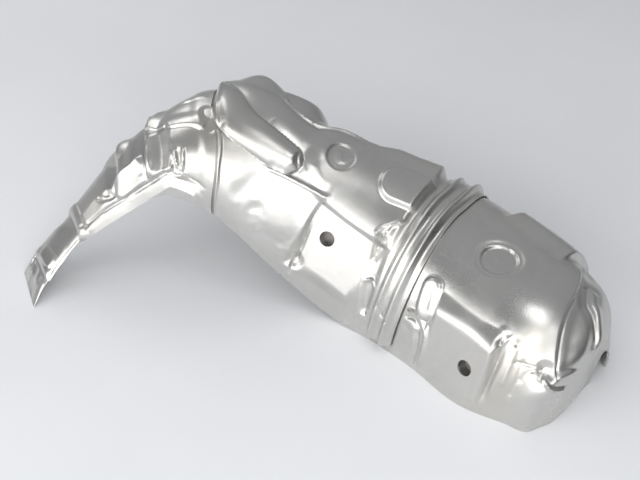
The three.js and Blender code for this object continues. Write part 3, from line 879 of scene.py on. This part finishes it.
class ShieldSizes(bpy.types.PropertyGroup):
    """How finely the panels, liners and mats are meshed, in metres."""

    mesh_pitch: FloatProperty(
        name="Mesh Pitch",
        description="Spacing of the points across the outer panels",
        default=0.00068,
        min=0.0003,
        max=0.005,
        subtype="DISTANCE",
        unit="LENGTH",
    )
    liner_pitch: FloatProperty(
        name="Liner Pitch",
        description="Spacing of the points across the liners and mats",
        default=0.0022,
        min=0.0005,
        max=0.01,
        subtype="DISTANCE",
        unit="LENGTH",
    )


def watts(name, description, default):
    return FloatProperty(
        name=name, description=description, default=default, min=0, subtype="POWER", unit="POWER"
    )


class StudioLights(bpy.types.PropertyGroup):
    """Strength of each softbox, in watts, and of the studio's own grey light."""

    overhead: watts("Overhead", "Softbox over the shield", 0.9)
    front: watts("Front", "Wide softbox in front of the bolt faces", 25.0)
    right: watts("Right", "Softbox beyond the dome, on the bolt side", 3.2)
    left: watts("Left", "Softbox beyond the foot", 1.3)
    floor_light: watts("Floor Light", "Soft light that only the floor takes", 9.0)
    ambient: FloatProperty(
        name="Ambient", description="Brightness of the lit side of the studio", default=0.41, min=0, max=4
    )
    dim: FloatProperty(
        name="Dim Side", description="Brightness of the studio's dark side", default=0.05, min=0, max=4
    )


# each outer panel's run round the form and along it, mm, and a middling station to space its leans by
PANEL_RUNS = {
    "foot": (70, 66, 1.6),
    "arm": (150, 112, 4.2),
    "collector": (225, 145, 7.0),
    "converter": (215, 165, 10.6),
}
UNDER_START = 0.4
UNDER_END = 0.15


def make_panel(context, stretch, name, node, start, end, press, **extras):
    """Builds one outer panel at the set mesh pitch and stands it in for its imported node."""
    pitch = context.scene.shield_sizes.mesh_pitch / MM
    around, along, middle = PANEL_RUNS[stretch]
    leans = even_leans(round(around / pitch), RIM, middle)
    piece = outer_panel(name, round(along / pitch), leans, start, end, press, **extras)
    finish(piece, material_of(bright_steel, context.scene.shield_look), "outer_sheet", node)


class HEATSHIELD_OT_foot_tab(bpy.types.Operator):
    """Build the narrow tab at the foot of the arm"""

    bl_idname = "heatshield.foot_tab"
    bl_label = "Foot Tab"

    def execute(self, context):
        def under(t, lean):
            return -LAP_RISE * rise(ARM_START - UNDER_START, ARM_START - UNDER_END, t)

        make_panel(
            context,
            "foot",
            "foot_tab_skin",
            "foot_tab",
            lambda lean: 0 * lean,
            lambda lean: FOOT_END + 0 * lean,
            press_foot,
            lift=under,
        )
        return {"FINISHED"}


class HEATSHIELD_OT_arm_panel(bpy.types.Operator):
    """Build the arm's outer panel, which rides over the collector panel at the seam"""

    bl_idname = "heatshield.arm_panel"
    bl_label = "Arm Panel"

    def execute(self, context):
        def ride_over(t, lean):
            return LAP_RISE * rise(-SEAM_LAP * 3, -SEAM_LAP * 1.2, from_seam(t, lean))

        make_panel(
            context,
            "arm",
            "arm_skin",
            "arm_outer_panel",
            lambda lean: ARM_START + 0 * lean,
            lambda lean: seam_at(lean) + SEAM_LAP / SEAM_PITCH / 2,
            press_arm,
            lift=ride_over,
        )
        return {"FINISHED"}


class HEATSHIELD_OT_collector_panel(bpy.types.Operator):
    """Build the collector's outer panel with its two ribs, lobe, pads and bolt hole"""

    bl_idname = "heatshield.collector_panel"
    bl_label = "Collector Panel"

    def execute(self, context):
        make_panel(
            context,
            "collector",
            "collector_skin",
            "collector_outer_panel",
            lambda lean: seam_at(lean) - SEAM_LAP / SEAM_PITCH / 2,
            lambda lean: band_at(lean) - CLEAR / STATION_PITCH,
            press_collector,
            seat=SEATS["collector"],
        )
        return {"FINISHED"}


class HEATSHIELD_OT_converter_panel(bpy.types.Operator):
    """Build the converter's outer panel with its round recess, emboss, ledge, bolt hole and dome"""

    bl_idname = "heatshield.converter_panel"
    bl_label = "Converter Panel"

    def execute(self, context):
        make_panel(
            context,
            "converter",
            "converter_skin",
            "converter_outer_panel",
            lambda lean: band_at(lean) + CLEAR / STATION_PITCH,
            lambda lean: LAST_STATION + 0 * lean,
            press_converter,
            seat=SEATS["converter"],
        )
        return {"FINISHED"}


# each ridge of the collar: where its crest is and how wide it is, as shares of the collar's half width, and
# its height over the valley between them
COLLAR_RIDGES = ((-0.52, 0.21, 2.6), (0.42, 0.20, 3.2))
COLLAR_BASE = 1.5
COLLAR_VALLEY = 0.9
COLLAR_REACH = 86.0
COLLAR_ROUND = 225
COLLAR_MIDDLE = 9.1


def collar_height(across):
    """Height of the collar over the panels, from its collector edge at -1 to its converter edge at 1."""
    height = COLLAR_BASE + COLLAR_VALLEY * rise(-0.95, -0.6, across) * (1 - rise(0.5, 0.85, across))
    return height + sum(top * np.exp(-(((across - crest) / width) ** 2)) for crest, width, top in COLLAR_RIDGES)


class HEATSHIELD_OT_joint_collar(bpy.types.Operator):
    """Build the double-beaded collar over the joint between collector and converter"""

    bl_idname = "heatshield.joint_collar"
    bl_label = "Joint Collar"

    def execute(self, context):
        pitch = context.scene.shield_sizes.mesh_pitch / MM
        leans = even_leans(round(COLLAR_ROUND / pitch), COLLAR_REACH, COLLAR_MIDDLE)
        across = np.linspace(-1, 1, round(2 * COLLAR_HALF / pitch * 2))[:, None]
        across = np.broadcast_to(across, (across.shape[0], len(leans)))
        lean = np.broadcast_to(leans, across.shape)
        height = collar_height(across)
        t = band_at(lean) + across * COLLAR_HALF / STATION_PITCH
        point, normal = seated(t, lean)
        inner_share = rise(1.0, 0.8, np.abs(across))
        height = height + inner_share * 0.5 * waviness(point) + press_collar(t, lean, plain_point(t, lean))
        outer = sunk(point, normal, -height)
        inner = sunk(point, normal, SHEET - height)
        piece = closed_sheet("joint_collar_skin", outer, inner, None, {"worked": press_mark(height)})
        finish(piece, material_of(bright_steel, context.scene.shield_look), "outer_sheet", "joint_collar")
        return {"FINISHED"}


# a lined stretch's run round the form and along it, mm
LINED_ROUND = 190
LINED_ALONG = 130

# first and last station of each lined stretch, and a middling one to space its leans by
LINED = {
    "arm": (lambda lean: ARM_LINED_FROM + 0 * lean, lambda lean: seam_at(lean) - 2 * END_GAP, 4.0),
    "collector": (lambda lean: seam_at(lean) + END_GAP, lambda lean: band_at(lean) - END_GAP, 7.0),
    "converter": (lambda lean: band_at(lean) + END_GAP, lambda lean: DOME_START + 0 * lean, 10.6),
}


def lined_layer(name, stretch, reach, pitch, depth_at, thickness):
    """A mat or liner of one stretch, at a depth below the outer skin that depends on the lean."""
    start, end, middle = LINED[stretch]
    leans = even_leans(round(LINED_ROUND / pitch), reach, middle)
    share = np.linspace(0, 1, round(LINED_ALONG / pitch))[:, None]
    lean = np.broadcast_to(leans, (share.shape[0], len(leans)))
    t = mix(start(lean), end(lean), share)
    point, normal = seated(t, lean, widest=LINER_SEAT)
    depth = depth_at(lean)
    outer, inner = sunk(point, normal, depth), sunk(point, normal, depth + thickness)
    keep = None
    if stretch in SEATS:
        outer, inner, keep = round_hole(outer, inner, SEATS[stretch], BARREL + 2 * CLEAR)
    return closed_sheet(name, outer, inner, keep)


class HEATSHIELD_OT_insulation_mats(bpy.types.Operator):
    """Build the fibre mats behind the outer panels"""

    bl_idname = "heatshield.insulation_mats"
    bl_label = "Insulation Mats"

    def execute(self, context):
        pitch = context.scene.shield_sizes.liner_pitch / MM
        for stretch in LINED:
            piece = lined_layer(
                f"{stretch}_mat", stretch, MAT_REACH, pitch, lambda lean: np.full(lean.shape, MAT_TOP), MAT
            )
            finish(
                piece, material_of(fibre_mat, context.scene.shield_look), "insulation", f"{stretch}_insulation_mat"
            )
        return {"FINISHED"}


class HEATSHIELD_OT_inner_liners(bpy.types.Operator):
    """Build the inner liners, whose rims turn out to meet the outer panels"""

    bl_idname = "heatshield.inner_liners"
    bl_label = "Inner Liners"

    def execute(self, context):
        pitch = context.scene.shield_sizes.liner_pitch / MM

        def hemmed(lean):
            return mix(LINER_TOP, HEM_DEPTH, rise(MAT_REACH, HEM_REACH, np.abs(lean)))

        for stretch in LINED:
            piece = lined_layer(f"{stretch}_liner", stretch, HEM_REACH, pitch, hemmed, LINER)
            finish(piece, material_of(dull_steel, context.scene.shield_look), "liner_sheet", f"{stretch}_inner_liner")
        return {"FINISHED"}


BUSH_SIDES = 72
BUSH_CHAMFER = 0.3


def bush_mesh(name, seat):
    """A flanged tube turned about the seat's normal, with broken edges."""
    top = -(SHEET + CLEAR)
    ledge = -(LINER_BOTTOM + 5 * CLEAR)
    bottom = ledge - BUSH_FLANGE_THICK
    bore, barrel = BUSH_BORE / 2, BARREL / 2
    flange, c = barrel + BUSH_FLANGE, BUSH_CHAMFER
    outline = [
        (bore, top - c),
        (bore, bottom + c),
        (bore + c, bottom),
        (flange - c, bottom),
        (flange, bottom + c),
        (flange, ledge - c),
        (flange - c, ledge),
        (barrel + c, ledge),
        (barrel, ledge + c),
        (barrel, top - c),
        (barrel - c, top),
        (bore + c, top),
    ]
    turns = np.linspace(0, 2 * np.pi, BUSH_SIDES, endpoint=False)[:, None]
    radius, height = (np.array(values) for values in zip(*outline))
    ring = seat.along * (np.cos(turns) * radius)[..., None] + seat.upward * (np.sin(turns) * radius)[..., None]
    points = seat.centre + ring + seat.normal * height[None, :, None]
    count = len(outline)
    ids = np.arange(BUSH_SIDES * count).reshape(BUSH_SIDES, count)
    after, below = np.roll(ids, -1, axis=0), np.roll(ids, -1, axis=1)
    faces = np.stack([ids, below, np.roll(after, -1, axis=1), after], -1).reshape(-1, 4)
    return new_piece(name, points.reshape(-1, 3), faces, BUSH_SHARP)


class HEATSHIELD_OT_spacer_bushes(bpy.types.Operator):
    """Build the flanged bushes under the two bolt holes"""

    bl_idname = "heatshield.spacer_bushes"
    bl_label = "Spacer Bushes"

    def execute(self, context):
        for stretch, seat in SEATS.items():
            piece = bush_mesh(f"{stretch}_bush", seat)
            plating = material_of(plated_steel, context.scene.shield_look)
            finish(piece, plating, "bush_steel", f"{stretch}_spacer_bush")
        return {"FINISHED"}


FLOOR_HALF = 4.0
CAMERA_TARGET = (-55.0, -56.0, 45.0)
CAMERA_AZIMUTH = 50.0
CAMERA_ELEVATION = 40.0
CAMERA_DISTANCE = 0.76
CAMERA_LENS = 70.0


def softbox(name, direction, distance, size, power, shape="ELLIPSE"):
    """A flat light that faces the shield from a direction."""
    data = bpy.data.lights.new(name, "AREA")
    data.shape = shape
    data.size, data.size_y = size
    data.energy = power
    lamp = bpy.data.objects.new(name, data)
    bpy.context.scene.collection.objects.link(lamp)
    middle = placed(CAMERA_TARGET)
    lamp.location = middle + Vector(direction).normalized() * distance
    lamp.rotation_euler = (middle - lamp.location).to_track_quat("-Z", "Y").to_euler()
    return lamp


LIT_SIDE = (-0.45, 0.35, 0.82)
STUDIO_GREY = (0.95, 0.97, 1.0, 1.0)


def surround(tree, lights):
    """Grey surroundings, lighter over the foot's side and darker low on the other."""
    background = tree.nodes["Background"]
    direction = tree.nodes.new("ShaderNodeTexCoord")
    facing = tree.nodes.new("ShaderNodeVectorMath")
    facing.operation = "DOT_PRODUCT"
    facing.inputs[1].default_value = LIT_SIDE
    tree.links.new(direction.outputs["Generated"], facing.inputs[0])
    shade = tree.nodes.new("ShaderNodeMapRange")
    shade.interpolation_type = "SMOOTHSTEP"
    for socket, number in zip(shade.inputs[1:5], (-0.2, 0.95, lights.dim, lights.ambient)):
        socket.default_value = number
    tree.links.new(facing.outputs["Value"], shade.inputs["Value"])
    tree.links.new(shade.outputs[0], background.inputs["Strength"])
    background.inputs["Color"].default_value = STUDIO_GREY


class HEATSHIELD_OT_studio(bpy.types.Operator):
    """Build the floor, the softboxes, the grey surroundings and the camera"""

    bl_idname = "heatshield.studio"
    bl_label = "Studio"

    def execute(self, context):
        scene = context.scene
        lights = scene.shield_lights
        corners = [(x * FLOOR_HALF, y * FLOOR_HALF, 0) for x, y in ((-1, -1), (1, -1), (1, 1), (-1, 1))]
        mesh = bpy.data.meshes.new("studio_floor")
        mesh.from_pydata(corners, [], [(0, 1, 2, 3)])
        floor = bpy.data.objects.new("studio_floor", mesh)
        floor.location.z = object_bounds()[0][2]
        floor.data.materials.append(pale_floor(scene.shield_look))
        scene.collection.objects.link(floor)
        floor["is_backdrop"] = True

        softbox("overhead_softbox", (0.44, 0.03, 0.89), 1.0, (0.38, 0.38), lights.overhead)
        softbox("front_softbox", (0.16, -0.92, 0.38), 1.4, (3.0, 1.0), lights.front, "RECTANGLE")
        softbox("right_softbox", (0.775, -0.345, 0.53), 1.1, (0.7, 0.8), lights.right)
        softbox("left_softbox", (-0.80, 0.05, 0.60), 1.1, (0.6, 0.5), lights.left)
        softbox("floor_light", (0.0, 0.0, 1.0), 2.6, (3.0, 3.0), lights.floor_light).visible_glossy = False

        world = bpy.data.worlds.new("studio")
        world.use_nodes = True
        surround(world.node_tree, lights)
        scene.world = world
        scene.view_settings.view_transform = "Standard"

        data = bpy.data.cameras.new("camera")
        data.lens = CAMERA_LENS
        camera = bpy.data.objects.new("camera", data)
        scene.collection.objects.link(camera)
        azimuth, elevation = math.radians(CAMERA_AZIMUTH), math.radians(CAMERA_ELEVATION)
        away = Vector(
            (
                math.sin(azimuth) * math.cos(elevation),
                -math.cos(azimuth) * math.cos(elevation),
                math.sin(elevation),
            )
        )
        camera.location = placed(CAMERA_TARGET) + away * CAMERA_DISTANCE
        camera.rotation_euler = (-away).to_track_quat("-Z", "Y").to_euler()
        scene.camera = camera
        return {"FINISHED"}


OPERATORS = (
    HEATSHIELD_OT_foot_tab,
    HEATSHIELD_OT_arm_panel,
    HEATSHIELD_OT_collector_panel,
    HEATSHIELD_OT_converter_panel,
    HEATSHIELD_OT_joint_collar,
    HEATSHIELD_OT_insulation_mats,
    HEATSHIELD_OT_inner_liners,
    HEATSHIELD_OT_spacer_bushes,
    HEATSHIELD_OT_studio,
)


class HEATSHIELD_PT_sidebar(bpy.types.Panel):
    """Lists the shield's pieces, its sizes and its finishes"""

    bl_idname = "HEATSHIELD_PT_sidebar"
    bl_label = "Manifold Heat Shield"
    bl_space_type = "VIEW_3D"
    bl_region_type = "UI"
    bl_category = "Heat Shield"

    def draw(self, context):
        layout = self.layout
        for operator in OPERATORS:
            layout.operator(operator.bl_idname)
        for group in (context.scene.shield_sizes, context.scene.shield_look, context.scene.shield_lights):
            box = layout.box()
            for name in group.__annotations__:
                box.prop(group, name)


GROUPS = {"shield_sizes": ShieldSizes, "shield_look": ShieldLook, "shield_lights": StudioLights}


def register():
    for group in GROUPS.values():
        bpy.utils.register_class(group)
    for name, group in GROUPS.items():
        setattr(bpy.types.Scene, name, PointerProperty(type=group))
    for operator in OPERATORS:
        bpy.utils.register_class(operator)
    bpy.utils.register_class(HEATSHIELD_PT_sidebar)


def unregister():
    bpy.utils.unregister_class(HEATSHIELD_PT_sidebar)
    for operator in reversed(OPERATORS):
        bpy.utils.unregister_class(operator)
    for name, group in GROUPS.items():
        delattr(bpy.types.Scene, name)
        bpy.utils.unregister_class(group)


def plain(bounds):
    """A box as plain lists of numbers."""
    return [[float(value) for value in corner] for corner in bounds]


def main():
    register()
    for operator in OPERATORS:
        group, name = operator.bl_idname.split(".")
        getattr(getattr(bpy.ops, group), name)()


if __name__ == "__main__":
    main()
